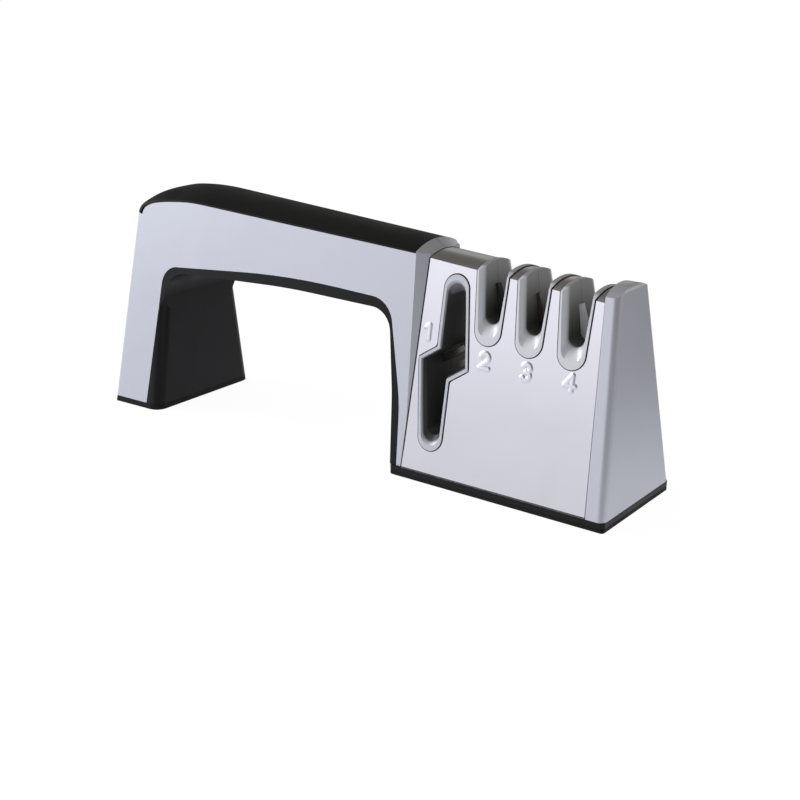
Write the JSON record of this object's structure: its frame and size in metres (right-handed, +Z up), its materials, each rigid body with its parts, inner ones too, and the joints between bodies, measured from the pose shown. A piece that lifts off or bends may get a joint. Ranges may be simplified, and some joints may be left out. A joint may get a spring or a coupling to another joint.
{
  "type": "knife sharpener",
  "caption": "Handheld knife and scissors sharpener: an arched soft-grip handle joined to a steel-faced block with open slots.",
  "frame": {"origin": "middle of the footprint, on the surface that the sharpener stands on", "axes": "+Z up, +X along the handle from the leg to the sharpening block, -Y out of the numbered front face"},
  "size_m": [0.209, 0.0514, 0.0825],
  "materials": {
    "silver_plastic": "fine satin, silver grey",
    "black_plastic": "satin",
    "soft_grip": "matte soft touch",
    "black_rubber": "matte",
    "grey_plastic": "satin",
    "polished_steel": "polished",
    "screw_steel": "zinc plated",
    "diamond_plate": "diamond grit coating",
    "carbide_plate": "ground",
    "white_ceramic": "unglazed"
  },
  "bodies": {
    "root": {"front_shell": "silver_plastic", "rear_shell": "silver_plastic", "top_grip": "soft_grip", "grip_carrier": "black_plastic", "arch_frame": "black_plastic", "leg_base": "black_plastic", "foot_pad": "black_rubber", "leg_screws": "screw_steel", "base_tray": "black_plastic", "base_pad": "black_rubber", "base_screws": "screw_steel", "inner_frame": "black_plastic", "steel_cover": "polished_steel", "scissors_insert_front": "grey_plastic", "scissors_insert_rear": "grey_plastic", "knife_insert_front": "grey_plastic", "knife_insert_rear": "grey_plastic", "insert_screws": "screw_steel", "collar_screws": "screw_steel", "end_cap": "silver_plastic", "diamond_plate_left": "diamond_plate", "diamond_plate_right": "diamond_plate", "carbide_plate_left": "carbide_plate", "carbide_plate_right": "carbide_plate", "ceramic_plate_left": "white_ceramic", "ceramic_plate_right": "white_ceramic", "scissor_plate_upper": "carbide_plate", "scissor_plate_lower": "carbide_plate"}
  },
  "joints": []
}
